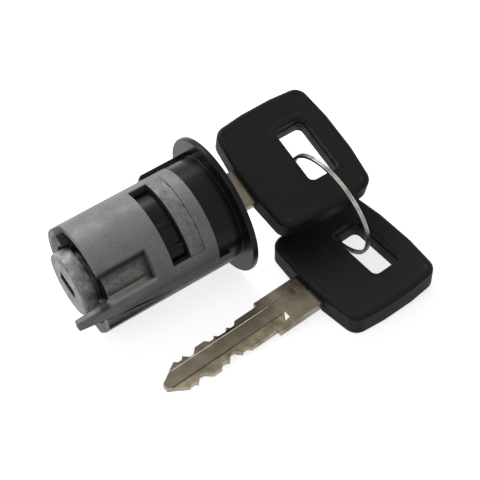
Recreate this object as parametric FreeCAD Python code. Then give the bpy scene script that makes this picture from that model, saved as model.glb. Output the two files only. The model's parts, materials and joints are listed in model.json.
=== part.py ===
import FreeCAD, Part
import os
from math import acos, asin, atan2, cos, degrees, hypot, radians, sin, sqrt

V = FreeCAD.Vector

# Lock frame: +X runs out of the key side, x = 0 is the flange's front face, the axis is y = z = 0.
# Angles round the axis are in degrees, 0 is up and 90 is the side towards -Y.
# Key frame: x = 0 is the head's edge on the blade side, the blade points to -X, the plate lies in XY.

# How far a cutting shape runs past what it cuts, and how far joined shapes run into each other
overrun = 1.0
overlap = 0.5

# Bezel collar
flange_r = 19.0
flange_thick = 1.6
skirt_length = 6.9
spigot_r = 12.2
spigot_overrun = 1.6
collar_fit = 0.05
tongue_length = 6.5
tongue_height = 1.2
tongue_angle = -61.0
tongue_span = 22.0
tongue_tip_bevel = 0.7
rib_angles = [60.0, 32.0]
rib_heights = [0.7, 0.25]
rib_width = 1.3

# Sleeve housing
sleeve_r = 14.2
sleeve_length = 31.0
window_setback = 3.5
window_length = 9.05
window_low_angle = 76.7
window_high_angle = -24.6
pocket_length = 13.5
pocket_depth = 2.2
pocket_high_angle = 42.0
pocket_low_angle = 77.5
pocket_floor_angle = 51.0
pocket_fillet = 0.8
recess_r = 12.3
recess_step_r = 10.8
recess_step_depth = 1.1
recess_depth = 2.1

# Keel, finger and lug on the housing
keel_r = 16.1
keel_side_angle = 98.0
keel_crown_r = 14.75
keel_crown_angle = 127.0
keel_far_angle = 206.0
sole_drop = 15.0
sole_near = 6.4
sole_far = 5.0
keel_front_setback = 3.8
keel_overhang = 1.5
keel_bevel_length = 19.0
keel_bevel_angle = 113.0
finger_length = 9.0
finger_thick = 1.6
finger_tip_r = 0.6
finger_blank_angles = [60.0, 110.0]
finger_root_angles = [77.0, 98.0]
finger_tip_angles = [79.5, 90.5]
web_length = 4.0
web_inner_r = 11.4
web_angles = [79.5, 96.0]
lug_height = 1.8
lug_root = 0.8
lug_inner_r = 9.4
lug_outer_angles = [-38.0, -105.0]
lug_inner_angles = [-29.0, -100.0]

# Window block
block_length = 4.15
block_depth = 3.2
block_gap = 0.07

# Plug
plug_r = 7.95
running_fit = 0.05
thrust_gap = 0.1
plug_head_r = 9.4
plug_head_length = 2.7
head_fit = 0.1
stop_tab_r = 10.6
stop_tab_angle = 190.0
stop_tab_span = 12.0
plug_turn_range = 105.0
stop_margin = 2.0
tail_r = 5.2
tail_flat = 3.9
cap_r = 11.4
cap_thick = 0.7

# Driver and its retaining ring
driver_r = 8.55
driver_length = 4.1
driver_hub_r = 6.9
driver_hub_length = 1.5
driver_edge = 0.4
insert_hole = [6.8, 4.0]
insert_wall = 0.4
insert_length = 3.6
ring_thick = 0.8
ring_outer_r = 9.0
ring_groove_depth = 0.6
ring_opening = 70.0
seat_gap = 0.05

# Key
key_thick = 2.3
blade_half_width = 4.3
neck_half_width = 5.45
neck_length = 13.6
tip_setback = 0.1
tip_length = 5.9
tip_half_width = 0.8
last_cut_to_tip = 5.85
first_cut = 8.6
lower_cut_shift = 1.2
cut_flat = 1.1
upper_cuts = [1.0, 1.7, 1.0, 0.0, 1.5, 0.9]
lower_cuts = [0.9, 1.9, 1.0, 0.0, 1.8, 1.0]
band_upper_edge = 2.45
band_depth = 0.25
band_start = 6.2
band_run_out = 5.0
strip_upper_edge = -1.35
strip_depth = 0.6
strip_start = 8.6
strip_run_out = 1.9
stub_length = 10.1
stub_half_width = 5.0
head_length = 30.2
head_thick = 6.8
head_corner_setback = 1.3
head_near_half = 16.5
head_far_half = 16.9
head_side_bulge = 1.0
head_side_steps = 3
head_corner_r = 3.6
head_edge = 0.7
slot_near = 14.95
slot_length = 9.2
slot_half_width = 8.65
slot_corner_r = 1.6

# Key in the lock
key_roll = 17.5
key_standoff = 8.1
keyway_gap = 0.15
tip_gap = 0.6

# Wafers and their springs
wafer_thick = 0.8
wafer_slot_gap = 0.05
wafer_half_height = 2.6
wafer_end_gap = 0.2
wafer_window_gap = 0.2
ear_height = 1.6
ear_width = 1.2
ear_travel = 2.2
spring_r = 0.4
spring_length = 3.6
spring_wire = 0.22
spring_sides = 6
wafer_far_setback = 0.6
wafer_groove_depth = 1.2
wafer_groove_margin = 1.3
wafer_groove_gap = 0.3

# Dust shutter behind the face cap
shutter_half_width = 5.0
shutter_thick = 0.5
shutter_length = 3.4
shutter_pin_r = 0.45
shutter_pin_length = 12.4
shutter_barrel_r = 0.85
shutter_lift = 0.3
shutter_spring_length = 2.2
shutter_pocket_gap = 0.2
pin_fit = 0.03

# Key ring, and how the second key hangs on it and lies on the floor
loop_r = 14.9
loop_radial = 1.1
loop_axial = 0.6
loop_nick_start = 0.1
loop_notch = 0.3
loop_notch_angles = [205.0, 222.0]
loop_inset = 1.2
loop_floor_gap = 0.125
loop_turn_angle = 8.3
loop_lean_angle = 11.3
key_2_hold = [18.9, 1.24]
key_2_yaw = 5.1
key_2_pitch = -3.68
key_2_roll = 3.1

# Places along the lock's axis
flange_back_x = -flange_thick
sleeve_front_x = flange_back_x - skirt_length
sleeve_rear_x = sleeve_front_x - sleeve_length
window_front_x = sleeve_front_x - window_setback
window_rear_x = window_front_x - window_length
spigot_rear_x = window_rear_x - spigot_overrun
block_rear_x = window_front_x - block_length
pocket_front_x = sleeve_rear_x + pocket_length
keel_front_x = flange_back_x - keel_front_setback
keel_rear_x = sleeve_rear_x - keel_overhang
recess_floor_x = sleeve_rear_x + recess_depth
plug_front_x = -cap_thick
head_rear_x = plug_front_x - plug_head_length
plug_rear_x = recess_floor_x - thrust_gap
ring_front_x = plug_rear_x - seat_gap
ring_rear_x = ring_front_x - ring_thick
driver_front_x = ring_rear_x - seat_gap
disc_front_x = driver_front_x - driver_hub_length
driver_rear_x = disc_front_x - driver_length
insert_front_x = driver_rear_x + insert_length
tail_rear_x = insert_front_x + seat_gap
key_shoulder_x = key_standoff - neck_length
key_tip_x = plug_rear_x + tip_setback
blade_length = key_shoulder_x - key_tip_x
bore_r = plug_r + running_fit


def at(x, r, angle):
    return V(x, -r * sin(radians(angle)), r * cos(radians(angle)))


def cylinder(x0, x1, r):
    return Part.makeCylinder(r, abs(x1 - x0), V(min(x0, x1), 0, 0), V(1, 0, 0))


def box(x0, x1, y0, y1, z0, z1):
    return Part.makeBox(abs(x1 - x0), abs(y1 - y0), abs(z1 - z0), V(min(x0, x1), min(y0, y1), min(z0, z1)))


def arc(first, middle, last):
    return Part.Arc(first, middle, last).toShape()


def line(first, last):
    return Part.LineSegment(first, last).toShape()


def polygon_face(points):
    return Part.Face(Part.makePolygon(points + [points[0]]))


def sector(x0, x1, r_in, r_out, inner_angles, outer_angles):
    # A stretch of ring whose two end faces may lean, as each is set by an inner and an outer angle.
    inner_mid = sum(inner_angles) / 2
    outer_mid = sum(outer_angles) / 2
    edges = [
        arc(at(x0, r_out, outer_angles[0]), at(x0, r_out, outer_mid), at(x0, r_out, outer_angles[1])),
        line(at(x0, r_out, outer_angles[1]), at(x0, r_in, inner_angles[1])),
        arc(at(x0, r_in, inner_angles[1]), at(x0, r_in, inner_mid), at(x0, r_in, inner_angles[0])),
        line(at(x0, r_in, inner_angles[0]), at(x0, r_out, outer_angles[0])),
    ]
    return Part.Face(Part.Wire(edges)).extrude(V(x1 - x0, 0, 0))


def turned(shape, angle):
    # The shape turned round the lock's axis, towards growing angles.
    copy = shape.copy()
    copy.rotate(V(0, 0, 0), V(1, 0, 0), angle)
    return copy


def key_side(shape):
    # From the plain key frame's roll to the roll that the key has in the lock.
    return turned(shape, key_roll)


def revolved_x(points):
    # A solid of revolution round X, from (x, r) points.
    face = polygon_face([V(x, 0, r) for x, r in points])
    return face.revolve(V(0, 0, 0), V(1, 0, 0), 360)


def keel_profile(x):
    side_inner = at(x, sleeve_r - overrun, keel_side_angle)
    side_outer = at(x, keel_r, keel_side_angle)
    sole_corner = V(x, -sole_near, -sole_drop)
    far_corner = V(x, sole_far, -sole_drop)
    far_top = V(x, sole_far, -sleeve_r / 2)
    edges = [
        line(side_inner, side_outer),
        arc(side_outer, at(x, keel_crown_r, keel_crown_angle), sole_corner),
        line(sole_corner, far_corner),
        line(far_corner, far_top),
        line(far_top, side_inner),
    ]
    return Part.Face(Part.Wire(edges))


def keel_blank():
    length = keel_front_x - keel_rear_x
    keel = keel_profile(keel_rear_x).extrude(V(length, 0, 0))
    return keel.cut(cylinder(keel_rear_x - overrun, keel_front_x + overrun, recess_r))


def keel_bevel():
    # The slope that takes the keel's upper corner away towards the rear end.
    front = at(keel_rear_x + keel_bevel_length, keel_r, keel_side_angle)
    root = at(keel_rear_x, sleeve_r, keel_side_angle)
    outer = at(keel_rear_x, keel_crown_r, keel_bevel_angle)
    beyond = at(keel_rear_x, keel_r + overrun, keel_side_angle)
    faces = [polygon_face(corners) for corners in (
        [root, outer, beyond], [root, front, outer], [outer, front, beyond], [beyond, front, root])]
    return Part.makeSolid(Part.makeShell(faces))


def finger():
    # A tongue that carries the sleeve's wall on past its rear end, narrower towards its tip.
    tip_x = sleeve_rear_x - finger_length
    mid_angle = sum(finger_tip_angles) / 2
    wall = sector(sleeve_rear_x + overrun, tip_x, sleeve_r - finger_thick, sleeve_r,
                  finger_blank_angles, finger_blank_angles)
    across = [sleeve_r * sin(radians(angle - mid_angle))
              for angle in finger_root_angles + finger_tip_angles]
    outline = [
        V(sleeve_rear_x + 2 * overrun, across[0], 0),
        V(sleeve_rear_x - web_length, across[2], 0),
        V(tip_x, across[2], 0),
        V(tip_x, across[3], 0),
        V(sleeve_rear_x + 2 * overrun, across[1], 0),
    ]
    blade = polygon_face(outline).extrude(V(0, 0, sleeve_r + overrun))
    corners = [edge for edge in blade.Edges
               if abs(edge.Vertexes[0].X - tip_x) < 0.01 and abs(edge.Vertexes[-1].X - tip_x) < 0.01
               and abs(edge.Vertexes[0].Y - edge.Vertexes[-1].Y) < 0.01]
    blade = blade.makeFillet(finger_tip_r, corners)
    # Growing angles lead to -Y, so the outline is mirrored before it is turned into place.
    blade = blade.mirror(V(0, 0, 0), V(0, 1, 0))
    return wall.common(turned(blade, mid_angle))


def finger_web():
    return sector(recess_floor_x + recess_step_depth, sleeve_rear_x - web_length, web_inner_r,
                  sleeve_r - finger_thick + overlap, web_angles, web_angles)


def rear_lug():
    return sector(sleeve_rear_x + lug_root, sleeve_rear_x - lug_height, lug_inner_r, sleeve_r,
                  lug_inner_angles, lug_outer_angles)


def wafer_groove(x0, x1):
    half = wafer_half_height + wafer_groove_gap
    reach = bore_r + wafer_groove_depth
    groove = box(x0, x1, -reach, reach, -half, half).common(cylinder(x0, x1, reach))
    return key_side(groove)


def cut_distances(shift):
    # How far behind the shoulder one edge's cuts lie, spread evenly up to the tip.
    stretch = blade_length - last_cut_to_tip - lower_cut_shift - first_cut
    cut_pitch = stretch / (len(upper_cuts) - 1)
    return [first_cut + shift + index * cut_pitch for index in range(len(upper_cuts))]


def wafer_places():
    # Each cut of the upper edge has a wafer, and so has each cut of the lower edge, staggered.
    places = [(key_shoulder_x - distance, 0) for distance in cut_distances(0)]
    places += [(key_shoulder_x - distance, 180) for distance in cut_distances(lower_cut_shift)]
    return sorted(places, reverse=True)


def sleeve_housing():
    sleeve = cylinder(sleeve_rear_x, sleeve_front_x, sleeve_r)
    sleeve = sleeve.fuse(keel_blank())
    sleeve = sleeve.cut(keel_bevel())
    sleeve = sleeve.cut(cylinder(spigot_rear_x, keel_front_x + overrun, spigot_r + collar_fit))
    sleeve = sleeve.cut(cylinder(sleeve_front_x, keel_front_x + overrun, sleeve_r + collar_fit))
    sleeve = sleeve.cut(cylinder(recess_floor_x, spigot_rear_x, bore_r))
    sleeve = sleeve.cut(cylinder(keel_rear_x - overrun, sleeve_rear_x + recess_step_depth, recess_r))
    sleeve = sleeve.cut(cylinder(keel_rear_x - overrun, recess_floor_x, recess_step_r))
    window_angles = [window_high_angle, window_low_angle]
    sleeve = sleeve.cut(sector(window_rear_x, window_front_x, spigot_r - overrun, sleeve_r + overrun,
                               window_angles, window_angles))
    pocket = sector(keel_rear_x - overrun, pocket_front_x, sleeve_r - pocket_depth, sleeve_r + overlap,
                    [pocket_floor_angle, pocket_low_angle], [pocket_high_angle, pocket_low_angle])
    soft = [edge for edge in pocket.Edges
            if abs(edge.Vertexes[0].X - edge.Vertexes[-1].X) > pocket_length
            and (edge.Vertexes[0].Point - at(edge.Vertexes[0].X, sleeve_r - pocket_depth,
                                             pocket_floor_angle)).Length < 0.01]
    pocket = pocket.makeFillet(pocket_fillet, soft)
    sleeve = sleeve.cut(pocket)
    last_wafer_x = wafer_places()[-1][0]
    sleeve = sleeve.cut(wafer_groove(last_wafer_x - wafer_groove_margin, spigot_rear_x))
    sleeve = sleeve.fuse([finger(), finger_web(), rear_lug()])
    return sleeve.removeSplitter()


def bezel_collar():
    outline = [
        (spigot_rear_x, bore_r),
        (spigot_rear_x, spigot_r),
        (sleeve_front_x, spigot_r),
        (sleeve_front_x, sleeve_r),
        (flange_back_x, sleeve_r),
        (flange_back_x, flange_r),
        (0, flange_r),
        (0, cap_r + head_fit),
        (plug_front_x - thrust_gap, cap_r + head_fit),
        (plug_front_x - thrust_gap, plug_head_r + head_fit),
        (head_rear_x - thrust_gap, plug_head_r + head_fit),
        (head_rear_x - thrust_gap, bore_r),
    ]
    collar = revolved_x(outline)
    groove_angles = [window_high_angle, window_low_angle]
    collar = collar.cut(sector(block_rear_x - block_gap, window_front_x, sleeve_r - block_depth,
                               spigot_r + overrun, groove_angles, groove_angles))
    first_wafer_x = wafer_places()[0][0]
    collar = collar.cut(wafer_groove(spigot_rear_x, first_wafer_x + wafer_groove_margin))
    stop_half = stop_tab_span / 2 + stop_margin
    stop_angles = [stop_tab_angle - plug_turn_range - stop_half, stop_tab_angle + stop_half]
    collar = collar.cut(sector(head_rear_x - thrust_gap, 0, plug_head_r - overlap, stop_tab_r + head_fit,
                               stop_angles, stop_angles))
    keel_angles = [keel_side_angle - stop_margin, keel_far_angle]
    collar = collar.cut(sector(sleeve_front_x, keel_front_x + block_gap, sleeve_r - collar_fit,
                               sleeve_r + overrun, keel_angles, keel_angles))
    tongue_angles = [tongue_angle - tongue_span / 2, tongue_angle + tongue_span / 2]
    tongue_rear_x = sleeve_front_x - tongue_length
    tongue = sector(tongue_rear_x, flange_back_x, sleeve_r + 2 * collar_fit, sleeve_r + tongue_height,
                    tongue_angles, tongue_angles)
    tip_edges = [edge for edge in tongue.Edges
                 if abs(edge.Vertexes[0].X - tongue_rear_x) < 0.01
                 and abs(edge.Vertexes[-1].X - tongue_rear_x) < 0.01 and edge.Length > tongue_height
                 and edge.Curve.Radius > sleeve_r + overlap]
    tongue = tongue.makeChamfer(tongue_tip_bevel, tip_edges)
    foot = sector(sleeve_front_x, flange_back_x, sleeve_r - overlap, sleeve_r + overlap,
                  tongue_angles, tongue_angles)
    collar = collar.fuse([tongue, foot])
    for angle, height in zip(rib_angles, rib_heights):
        rib = box(window_rear_x + block_gap, block_rear_x - block_gap, -rib_width / 2, rib_width / 2,
                  spigot_r - overlap, spigot_r + height)
        collar = collar.fuse(turned(rib, angle))
    return collar.removeSplitter()


def window_block():
    gap_angle = degrees(block_gap / sleeve_r)
    angles = [window_high_angle + gap_angle, window_low_angle - gap_angle]
    return sector(block_rear_x, window_front_x - block_gap, sleeve_r - block_depth + block_gap,
                  sleeve_r, angles, angles)


def keyway():
    # The slot for the blade, with the wider mouth that takes the key's neck.
    half_thick = key_thick / 2 + keyway_gap
    narrow = box(key_tip_x - tip_gap, overrun, -blade_half_width - keyway_gap,
                 blade_half_width + keyway_gap, -half_thick, half_thick)
    mouth = box(key_shoulder_x - keyway_gap, overrun, -neck_half_width - keyway_gap,
                neck_half_width + keyway_gap, -half_thick, half_thick)
    return narrow.fuse(mouth)


def shutter_pin_place():
    height = key_thick / 2 + shutter_lift + shutter_barrel_r
    return plug_front_x - shutter_pocket_gap - shutter_barrel_r, height


def shutter_pocket():
    pin_x, pin_z = shutter_pin_place()
    rear_x = pin_x - shutter_length - shutter_pocket_gap
    half = shutter_half_width + shutter_pocket_gap
    return box(rear_x, plug_front_x + overrun, -half, half, 0, pin_z + shutter_barrel_r + shutter_pocket_gap)


def spring_axis_height():
    return wafer_half_height + ear_height / 2


def wafer_reach():
    # How far a wafer reaches to its opening side while its corners stay inside the plug.
    return sqrt((plug_r - wafer_end_gap) ** 2 - wafer_half_height ** 2)


def wafer_slot(x):
    # The slot is open on the side that the spring pushes to. The ear's room also holds the spring.
    half_thick = wafer_thick / 2 + wafer_slot_gap
    half = wafer_half_height + wafer_end_gap / 2
    far = wafer_reach() - wafer_far_setback + wafer_end_gap
    slot = box(x - half_thick, x + half_thick, -plug_r - overrun, far, -half, half)
    ear_room = box(x - half_thick, x + half_thick, -ear_width - ear_travel / 2,
                   spring_length + 2 * wafer_end_gap, 0,
                   wafer_half_height + ear_height + wafer_end_gap / 2)
    return slot.fuse(ear_room)


def plug_core():
    plug = cylinder(plug_rear_x, head_rear_x, plug_r)
    plug = plug.fuse(cylinder(head_rear_x, plug_front_x, plug_head_r))
    stop_angles = [stop_tab_angle - stop_tab_span / 2, stop_tab_angle + stop_tab_span / 2]
    plug = plug.fuse(sector(head_rear_x, plug_front_x, plug_head_r - overrun, stop_tab_r, stop_angles, stop_angles))
    tail = cylinder(tail_rear_x, plug_rear_x, tail_r)
    tail = tail.common(box(tail_rear_x, plug_rear_x, -tail_r, tail_r, -tail_flat, tail_flat))
    groove = cylinder(ring_rear_x - seat_gap, ring_front_x + seat_gap, tail_r + overrun)
    groove = groove.cut(cylinder(ring_rear_x - overrun, ring_front_x + overrun, tail_flat - ring_groove_depth))
    plug = plug.fuse(key_side(tail)).cut(groove)
    plug = plug.cut(key_side(keyway()))
    plug = plug.cut(key_side(shutter_pocket()))
    pin_x, pin_z = shutter_pin_place()
    pin_room = Part.makeCylinder(shutter_pin_r + pin_fit, shutter_pin_length + 2 * seat_gap,
                                 V(pin_x, -shutter_pin_length / 2 - seat_gap, pin_z), V(0, 1, 0))
    plug = plug.cut(key_side(pin_room))
    for x, half_turn in wafer_places():
        plug = plug.cut(turned(wafer_slot(x), key_roll + half_turn))
    return plug.removeSplitter()


def wafer(x, half_turn):
    x0 = x - wafer_thick / 2
    x1 = x + wafer_thick / 2
    plate = box(x0, x1, -wafer_reach(), wafer_reach() - wafer_far_setback,
                -wafer_half_height, wafer_half_height)
    window_half = blade_half_width + wafer_window_gap
    window_height = key_thick / 2 + wafer_window_gap
    plate = plate.cut(box(x0 - overrun, x1 + overrun, -window_half, window_half,
                          -window_height, window_height))
    ear = box(x0, x1, -ear_width, 0, wafer_half_height - overlap, wafer_half_height + ear_height)
    return turned(plate.fuse(ear).removeSplitter(), key_roll + half_turn)


def coil(length, r):
    # The room that a close coil spring takes along X from x = 0, as a bar with flat sides.
    step = 360 / spring_sides
    corners = [at(0, r, (index + 0.5) * step) for index in range(spring_sides)]
    return polygon_face(corners).extrude(V(length, 0, 0))


def wafer_springs():
    springs = []
    for x, half_turn in wafer_places():
        spring = coil(spring_length, spring_r)
        spring.rotate(V(0, 0, 0), V(0, 0, 1), 90)
        spring.translate(V(x, seat_gap, spring_axis_height()))
        springs.append(turned(spring, key_roll + half_turn))
    return Part.makeCompound(springs)


def face_cap():
    return cylinder(plug_front_x, 0, cap_r).cut(key_side(keyway())).removeSplitter()


def shutter():
    pin_x, pin_z = shutter_pin_place()
    barrel_start = -shutter_half_width + shutter_spring_length
    barrel = Part.makeCylinder(shutter_barrel_r, shutter_half_width - barrel_start,
                               V(pin_x, barrel_start, pin_z), V(0, 1, 0))
    leaf_base = pin_z - shutter_barrel_r
    leaf = box(pin_x - shutter_length, pin_x, barrel_start, shutter_half_width,
               leaf_base, leaf_base + shutter_thick)
    bore = Part.makeCylinder(shutter_pin_r + pin_fit, 2 * shutter_half_width,
                             V(pin_x, -shutter_half_width, pin_z), V(0, 1, 0))
    return key_side(barrel.fuse(leaf).cut(bore).removeSplitter())


def shutter_pin():
    pin_x, pin_z = shutter_pin_place()
    return key_side(Part.makeCylinder(shutter_pin_r, shutter_pin_length,
                                      V(pin_x, -shutter_pin_length / 2, pin_z), V(0, 1, 0)))


def shutter_spring():
    pin_x, pin_z = shutter_pin_place()
    length = shutter_spring_length - 2 * seat_gap
    inner_r = shutter_pin_r + seat_gap
    spring = coil(length, inner_r + 2 * spring_wire)
    bore = coil(length, inner_r / cos(radians(180 / spring_sides)))
    spring = spring.cut(bore)
    spring.rotate(V(0, 0, 0), V(0, 0, 1), 90)
    spring.translate(V(pin_x, -shutter_half_width + seat_gap, pin_z))
    return key_side(spring)


def retaining_ring():
    ring = cylinder(ring_rear_x, ring_front_x, ring_outer_r)
    ring = ring.cut(cylinder(ring_rear_x - overrun, ring_front_x + overrun, tail_flat - ring_groove_depth + seat_gap))
    opening = [-ring_opening / 2, ring_opening / 2]
    ring = ring.cut(sector(ring_rear_x - overrun, ring_front_x + overrun, overlap, ring_outer_r + overrun,
                           opening, opening))
    return key_side(ring)


def insert_outline(x, extra):
    half_long = insert_hole[0] / 2 + extra
    half_short = insert_hole[1] / 2 + extra
    return box(x, driver_rear_x - overrun, -half_long, half_long, -half_short, half_short)


def driver():
    body = cylinder(driver_rear_x, disc_front_x, driver_r)
    rims = [edge for edge in body.Edges if edge.BoundBox.XMax < driver_rear_x + driver_edge]
    body = body.makeChamfer(driver_edge, rims)
    body = body.fuse(cylinder(driver_rear_x + driver_edge, driver_front_x, driver_hub_r))
    socket = cylinder(tail_rear_x - seat_gap, driver_front_x + overrun, tail_r + seat_gap)
    flats = box(tail_rear_x - overrun, driver_front_x + overrun, -tail_r - overrun, tail_r + overrun,
                -tail_flat - seat_gap, tail_flat + seat_gap)
    body = body.cut(key_side(socket.common(flats)))
    return body.cut(key_side(insert_outline(insert_front_x, insert_wall))).removeSplitter()


def driver_insert():
    tube = insert_outline(insert_front_x, insert_wall - seat_gap / 2)
    tube = tube.common(cylinder(driver_rear_x, insert_front_x, driver_r))
    return key_side(tube.cut(insert_outline(insert_front_x + overrun, 0)))


def key_tip():
    tip_x = -neck_length - blade_length
    return [
        V(tip_x + tip_length, blade_half_width, 0),
        V(tip_x, tip_half_width, 0),
        V(tip_x, -tip_half_width, 0),
        V(tip_x + tip_length, -blade_half_width, 0),
    ]


def edge_removal(cuts, shift, side):
    # The wedges that the cutter takes from one edge, so that neighbouring cuts may run together.
    wedges = []
    for distance, depth in zip(cut_distances(shift), cuts):
        centre = -neck_length - distance
        if depth > 0:
            floor = side * (blade_half_width - depth)
            mouth = side * (blade_half_width + overrun)
            wide = cut_flat / 2 + depth + overrun
            wedge = polygon_face([
                V(centre + cut_flat / 2, floor, -key_thick),
                V(centre - cut_flat / 2, floor, -key_thick),
                V(centre - wide, mouth, -key_thick),
                V(centre + wide, mouth, -key_thick),
            ])
            wedges.append(wedge.extrude(V(0, 0, 2 * key_thick)))
    return wedges


def key_stub():
    return box(-overlap, stub_length, -stub_half_width, stub_half_width, -key_thick / 2, key_thick / 2)


def milled_step(upper_edge, depth, start, run_out):
    # What a cutter takes from one broad face below upper_edge, rising to nothing at the start.
    top = key_thick / 2
    end_x = -neck_length - blade_length - overrun
    side = polygon_face([
        V(-start, upper_edge, top),
        V(-start - run_out, upper_edge, top - depth),
        V(end_x, upper_edge, top - depth),
        V(end_x, upper_edge, top + overrun),
        V(-start, upper_edge, top + overrun),
    ])
    return side.extrude(V(0, -neck_half_width - overrun - upper_edge, 0))


def key_blade():
    outline = [
        V(0, neck_half_width, 0),
        V(-neck_length, neck_half_width, 0),
        V(-neck_length, blade_half_width, 0),
    ] + key_tip() + [
        V(-neck_length, -blade_half_width, 0),
        V(-neck_length, -neck_half_width, 0),
        V(0, -neck_half_width, 0),
    ]
    blade = polygon_face(outline).extrude(V(0, 0, key_thick))
    blade.translate(V(0, 0, -key_thick / 2))
    blade = blade.cut(edge_removal(upper_cuts, 0, 1) + edge_removal(lower_cuts, lower_cut_shift, -1))
    band = milled_step(band_upper_edge, band_depth, band_start, band_run_out)
    strip = milled_step(strip_upper_edge, strip_depth, strip_start, strip_run_out)
    steps = [band, strip, turned(band, 180), turned(strip, 180)]
    return blade.cut(steps).fuse(key_stub()).removeSplitter()


def head_slot():
    reach = head_thick / 2 + overrun
    prism = box(slot_near, slot_near + slot_length, -slot_half_width, slot_half_width, -reach, reach)
    uprights = [edge for edge in prism.Edges if edge.BoundBox.ZLength > overlap]
    return prism.makeFillet(slot_corner_r, uprights)


def bowed(first, last, outward):
    # Points from first to last along a shallow curve, without the last one.
    points = []
    for index in range(head_side_steps):
        t = index / head_side_steps
        points.append(first + (last - first) * t + outward * (4 * t * (1 - t)))
    return points


def key_head():
    near = head_corner_setback
    far = head_length - head_corner_setback
    side_bow = V(0, head_side_bulge, 0)
    end_bow = V(head_corner_setback, 0, 0)
    corners = [V(near, -head_near_half, 0), V(far, -head_far_half, 0),
               V(far, head_far_half, 0), V(near, head_near_half, 0)]
    outline = bowed(corners[0], corners[1], -side_bow)
    outline += bowed(corners[1], corners[2], end_bow)
    outline += bowed(corners[2], corners[3], side_bow)
    outline += bowed(corners[3], corners[0], -end_bow)
    head = polygon_face(outline).extrude(V(0, 0, head_thick))
    head.translate(V(0, 0, -head_thick / 2))
    uprights = [edge for edge in head.Edges if edge.BoundBox.ZLength > head_thick / 2
                and min(edge.Vertexes[0].Point.distanceToPoint(V(c.x, c.y, edge.Vertexes[0].Z))
                        for c in corners) < overlap]
    head = head.makeFillet(head_corner_r, uprights)
    rims = [edge for edge in head.Edges if edge.BoundBox.ZLength < head_edge / 2]
    head = head.makeChamfer(head_edge, rims)
    return head.cut([head_slot(), key_blade_core()]).removeSplitter()


def key_blade_core():
    # The plain part of the blade that the head is moulded round.
    neck = box(-overrun, 0, -neck_half_width, neck_half_width, -key_thick / 2, key_thick / 2)
    return key_stub().fuse(neck)


def key_ring():
    # A split ring round X, two turns of flat wire side by side, with a nick at each end of the wire.
    r0 = loop_r - loop_radial / 2
    r1 = loop_r + loop_radial / 2
    ring = revolved_x([(-loop_axial, r0), (loop_axial, r0), (loop_axial, r1), (-loop_axial, r1)])
    for side, notch_angle in zip([1, -1], loop_notch_angles):
        nick = box(side * loop_nick_start, side * (loop_axial + overrun), -loop_notch / 2, loop_notch / 2,
                   r0 - overrun, r1 + overrun)
        ring = ring.cut(turned(nick, notch_angle))
    return ring.removeSplitter()


def placement(rotation, offset):
    return FreeCAD.Placement(offset, rotation)


def lock_placement():
    # The lock lies on the flange's rim and on the rear edge of the keel's sole.
    tilt = atan2(flange_r - sole_drop, flange_back_x - keel_rear_x)
    height = flange_r * cos(tilt) - flange_back_x * sin(tilt)
    return placement(FreeCAD.Rotation(V(0, 1, 0), -degrees(tilt)), V(0, 0, height))


def key_1_placement():
    rolled = placement(FreeCAD.Rotation(V(1, 0, 0), key_roll), V(key_standoff, 0, 0))
    return lock_placement() * rolled


def loop_placement():
    # The ring passes the first key's slot near its blade side, half-way across, and reaches the floor.
    start = key_1_placement().multVec(V(slot_near + loop_inset, 0, 0))
    lean = radians(loop_lean_angle)
    outer = loop_r + loop_radial / 2
    height = outer * cos(lean) + loop_axial * sin(lean) + loop_floor_gap
    rotation = FreeCAD.Rotation(V(0, 0, 1), loop_turn_angle)
    rotation = rotation * FreeCAD.Rotation(V(1, 0, 0), degrees(asin((start.z - height) / loop_r)))
    rotation = rotation * FreeCAD.Rotation(V(0, -1, 0), loop_lean_angle)
    centre = start + rotation.multVec(V(0, -loop_r, 0))
    return placement(rotation, centre)


def loop_point(height):
    # The point of the ring's wire on its way down, at a height above the floor.
    loop = loop_placement()
    side = -loop.Rotation.multVec(V(0, 1, 0)).z
    rise = loop.Rotation.multVec(V(0, 0, 1)).z
    down = acos((height - loop.Base.z) / (loop_r * hypot(side, rise)))
    return loop.multVec(at(0, loop_r, degrees(atan2(side, rise) + down)))


def key_2_placement(lowest):
    # The second key lies on the floor and hangs on the ring at one point of its slot.
    rotation = FreeCAD.Rotation(V(0, 0, 1), key_2_yaw)
    rotation = rotation * FreeCAD.Rotation(V(0, 1, 0), key_2_pitch)
    rotation = rotation * FreeCAD.Rotation(V(1, 0, 0), key_2_roll)
    hold = rotation.multVec(V(key_2_hold[0], key_2_hold[1], 0))
    rest_height = -lowest(rotation)
    offset = loop_point(rest_height + hold.z) - hold
    return placement(rotation, V(offset.x, offset.y, rest_height))


def placed(shape, where):
    copy = shape.copy()
    copy.Placement = where * copy.Placement
    return copy


def box_of(shape):
    return shape.optimalBoundingBox(False, False)


def build():
    lock = {
        "sleeve_housing": sleeve_housing(),
        "bezel_collar": bezel_collar(),
        "window_block": window_block(),
        "plug_core": plug_core(),
        "face_cap": face_cap(),
        "shutter": shutter(),
        "shutter_pin": shutter_pin(),
        "shutter_spring": shutter_spring(),
        "wafer_springs": wafer_springs(),
        "retaining_ring": retaining_ring(),
        "driver": driver(),
        "driver_insert": driver_insert(),
    }
    for number, (x, half_turn) in enumerate(wafer_places(), 1):
        lock["wafer_%02d" % number] = wafer(x, half_turn)
    blade = key_blade()
    head = key_head()
    nodes = {name: placed(shape, lock_placement()) for name, shape in lock.items()}
    nodes["key_1_blade"] = placed(blade, key_1_placement())
    nodes["key_1_head"] = placed(head, key_1_placement())
    nodes["key_ring"] = placed(key_ring(), loop_placement())

    def lowest(rotation):
        turned_key = [placed(shape, placement(rotation, V(0, 0, 0))) for shape in (blade, head)]
        return min(box_of(shape).ZMin for shape in turned_key)

    nodes["key_2_blade"] = placed(blade, key_2_placement(lowest))
    nodes["key_2_head"] = placed(head, key_2_placement(lowest))
    return nodes


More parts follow.
